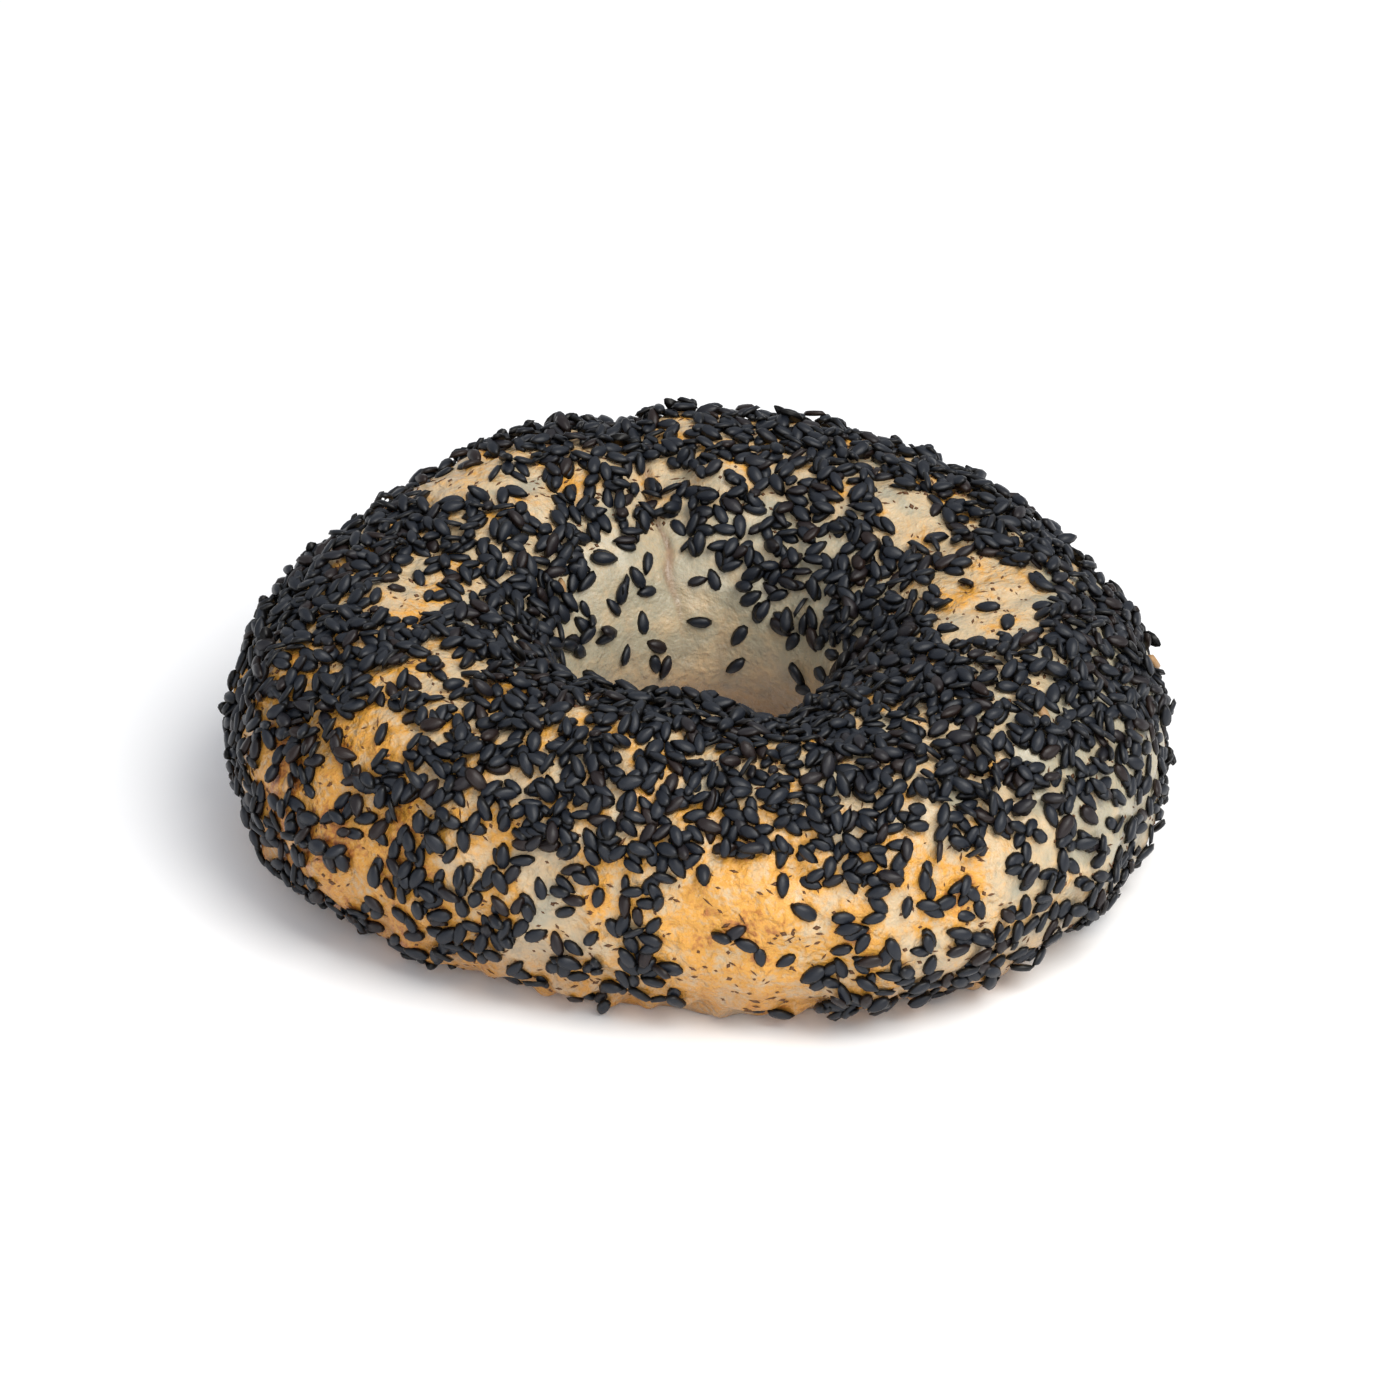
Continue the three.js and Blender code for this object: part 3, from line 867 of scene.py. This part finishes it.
# Painted shade, which on the underside is the board's browning, mixes in brown.
shade_and_toast_part = add_node(tree, "Math", {0: shade_and_toast_here, 1: 0.55}, operation="MULTIPLY")
crust_colour = add_node(
    tree, "Mix", {"Factor": shade_and_toast_part.outputs[0], "A": colour, "B": linear(BROWN)}, data_type="RGBA"
)

# %% The crust's skin, pores and gloss
pores = add_node(tree, "TexNoise", {"Vector": where, "Scale": 1 / PORE_SIZE, "Detail": 2.0})
skin = add_node(
    tree, "TexNoise", {"Vector": where, "Scale": 1 / SKIN_SIZE, "Detail": 3.0, "Distortion": 0.3}
)
# The skin is rough where it is browned, and smooth in the pale hole.
roughened = add_node(tree, "MapRange", {"Value": baked_here, "To Min": 0.2, "To Max": 1.5, "From Max": 0.6})
skin_height = add_node(
    tree, "Math", {0: skin.outputs["Fac"], 1: roughened.outputs["Result"]}, operation="MULTIPLY"
)
skin_bump = add_node(
    tree, "Bump", {"Height": skin_height.outputs[0], "Strength": 1.0, "Distance": 0.7 * MM}
)
pore_bump = add_node(
    tree, "Bump",
    {
        "Height": pores.outputs["Fac"],
        "Strength": 0.8,
        "Distance": 0.3 * MM,
        "Normal": skin_bump.outputs["Normal"],
    },
)
dryness = add_node(
    tree, "MapRange",
    {"Value": skin.outputs["Fac"], "From Min": 0.3, "From Max": 0.7, "To Min": 0.3, "To Max": 0.6},
)
crust_shader = add_node(
    tree, "BsdfPrincipled",
    {
        "Base Color": crust_colour.outputs["Result"],
        "Roughness": dryness.outputs["Result"],
        "IOR": 1.45,
        "Subsurface Weight": 0.12,
        "Subsurface Radius": (1.0, 0.55, 0.3),
        "Subsurface Scale": 1.5 * MM,
        "Coat Weight": 0.3,
        "Coat Roughness": 0.2,
        "Normal": pore_bump.outputs["Normal"],
    },
)
add_node(tree, "OutputMaterial", {"Surface": crust_shader.outputs["BSDF"]})
dough.data.materials.append(crust_material)
print(crust_material.name, "has", len(tree.nodes), "nodes")

# %% [markdown]
# ## The seeds' finish
#
# Unhulled black sesame: a dry, matt, faintly ribbed husk. Its colour is near black at the edge, which
# is painted shade, and slate grey on the face, which is a painted sheen. One in five is browner, and a rare
# one has lost its husk.

# %% Material: black sesame husk
# The edge's near black is painted shade, and the face's slate grey is a painted sheen.
EDGE_SHADE_BLACK, FACE_SHEEN_SLATE, HUSK_BROWN, HULLED_TAN = "#060505", "#191D25", "#21130D", "#A48058"
HULLED_SHARE = 0.0012  # seeds that have lost their husk
RIB_SIZE = 0.35 * MM

husk_material, tree = new_material("black_sesame_husk")
where = add_node(tree, "TexCoord").outputs["Object"]
face_here = add_node(tree, "Attribute", attribute_name="on_face").outputs["Fac"]
tone_here = add_node(tree, "Attribute", attribute_name="tone").outputs["Fac"]
grain = add_node(tree, "TexNoise", {"Vector": where, "Scale": 1 / RIB_SIZE, "Detail": 2.0})
# Painted shade on the edge and painted sheen on the face.
face_sheen_part = add_node(tree, "MapRange", {"Value": face_here, "From Min": 0.35, "From Max": 1.0})
husk = add_node(
    tree, "Mix", {"Factor": face_sheen_part.outputs["Result"], "A": linear(EDGE_SHADE_BLACK), "B": linear(FACE_SHEEN_SLATE)},
    data_type="RGBA",
)
brown_part = add_node(
    tree, "MapRange", {"Value": tone_here, "From Min": 0.8, "From Max": 1.0, "To Max": 0.85}
)
husk_tinted = add_node(
    tree, "Mix",
    {"Factor": brown_part.outputs["Result"], "A": husk.outputs["Result"], "B": linear(HUSK_BROWN)},
    data_type="RGBA",
)
pale_part = add_node(tree, "Math", {0: tone_here, 1: 1 - HULLED_SHARE}, operation="GREATER_THAN")
seed_colour = add_node(
    tree, "Mix",
    {"Factor": pale_part.outputs[0], "A": husk_tinted.outputs["Result"], "B": linear(HULLED_TAN)},
    data_type="RGBA",
)
husk_bump = add_node(tree, "Bump", {"Height": grain.outputs["Fac"], "Strength": 0.3, "Distance": 0.06 * MM})
husk_shader = add_node(
    tree, "BsdfPrincipled",
    {
        "Base Color": seed_colour.outputs["Result"],
        "Roughness": 0.44,
        "IOR": 1.45,
        "Specular IOR Level": 0.4,
        "Normal": husk_bump.outputs["Normal"],
    },
)
add_node(tree, "OutputMaterial", {"Surface": husk_shader.outputs["BSDF"]})
seeds.data.materials.append(husk_material)
print(husk_material.name, "has", len(tree.nodes), "nodes")

# %% [markdown]
# ## The chips' finish
#
# Broken sesame husk: where a husk splits, its dry brown inside shows, dull and lighter than the seeds.
# A chip is too small for a pattern to show, so it has one colour.

# %% Material: broken sesame husk
CHIP_BROWN = "#5E3C1F"

chip_material, tree = new_material("broken_sesame_husk")
chip_shader = add_node(
    tree, "BsdfPrincipled", {"Base Color": linear(CHIP_BROWN), "Roughness": 0.6, "IOR": 1.45}
)
add_node(tree, "OutputMaterial", {"Surface": chip_shader.outputs["BSDF"]})
chips.data.materials.append(chip_material)
print(chip_material.name, "has", len(tree.nodes), "nodes")

# %% [markdown]
# ## What each piece belongs to
#
# The bagel is one body: the dough, the seeds and the chips are all attached to it, and the solid
# model's own mesh is hidden.

# %% Pieces on the frame
for piece, slot in ((dough, "baked_crust"), (seeds, "black_sesame"), (chips, "black_sesame")):
    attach(piece, "root")
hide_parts("bagel")
print("pieces:", dough.name, seeds.name, chips.name)

# %% [markdown]
# ## Floor, light and camera
#
# A white table, a big soft light high at the front right, a weaker one low at the front and white
# surroundings. The camera looks down at 31 degrees through a long lens from over a metre away, so the
# seeds at the back of the ring look hardly smaller than those at its front.

# %% The floor
FLOOR_SIZE = 6.0
half = FLOOR_SIZE / 2
floor_corners = np.array([[-half, -half, 0], [half, -half, 0], [half, half, 0], [-half, half, 0]])
floor = add_mesh("floor", floor_corners, np.array([[0, 1, 2, 3]]), smooth=False)
floor_material, tree = new_material("white_table")
floor_shader = add_node(tree, "BsdfPrincipled", {"Base Color": linear("#FAFAFB"), "Roughness": 0.8})
add_node(tree, "OutputMaterial", {"Surface": floor_shader.outputs["BSDF"]})
floor.data.materials.append(floor_material)

# %% The lights


def add_light(name, azimuth, elevation, distance, size, power, colour):
    """A square area light that faces the bagel. Azimuth 0 is the front, and 90 the right."""
    light = bpy.data.lights.new(name, "AREA")
    light.size, light.energy, light.color = size, power, linear(colour)[:3]
    holder = bpy.data.objects.new(name, light)
    bpy.context.scene.collection.objects.link(holder)
    turn_z, rise = np.radians(azimuth), np.radians(elevation)
    holder.location = distance * np.array(
        [np.sin(turn_z) * np.cos(rise), -np.cos(turn_z) * np.cos(rise), np.sin(rise)]
    )
    holder.rotation_euler = (np.pi / 2 - rise, 0, turn_z)
    return holder


add_light("key_softbox", azimuth=48, elevation=56, distance=1.1, size=0.7, power=11.5, colour="#FFFDF8")
add_light("front_fill", azimuth=0, elevation=26, distance=1.3, size=0.9, power=4.5, colour="#FFFFFF")

world = bpy.data.worlds.new("white_room")
world.use_nodes = True
world.node_tree.nodes.clear()
room = add_node(world.node_tree, "Background", {"Color": linear("#F2F5FB"), "Strength": 0.62})
add_node(world.node_tree, "OutputWorld", {"Surface": room.outputs["Background"]})
bpy.context.scene.world = world
bpy.context.scene.view_settings.view_transform = "Standard"

# %% The camera
VIEW_ELEVATION = np.radians(31)
VIEW_DISTANCE = 1.1
SHARE_OF_FRAME = 0.64  # the bagel's width over the frame's
SENSOR = 36.0  # mm, like the lens

aim = np.array([0, 0, HEIGHT / 2])
camera_data = bpy.data.cameras.new("camera")
camera_data.sensor_width = SENSOR
camera_data.lens = SENSOR * SHARE_OF_FRAME * VIEW_DISTANCE / DIAMETER
camera = bpy.data.objects.new("camera", camera_data)
bpy.context.scene.collection.objects.link(camera)
camera.location = aim + VIEW_DISTANCE * np.array([0, -np.cos(VIEW_ELEVATION), np.sin(VIEW_ELEVATION)])
camera.rotation_euler = (np.pi / 2 - VIEW_ELEVATION, 0, 0)
bpy.context.scene.camera = camera
print("lens:", round(camera_data.lens, 1), "mm")
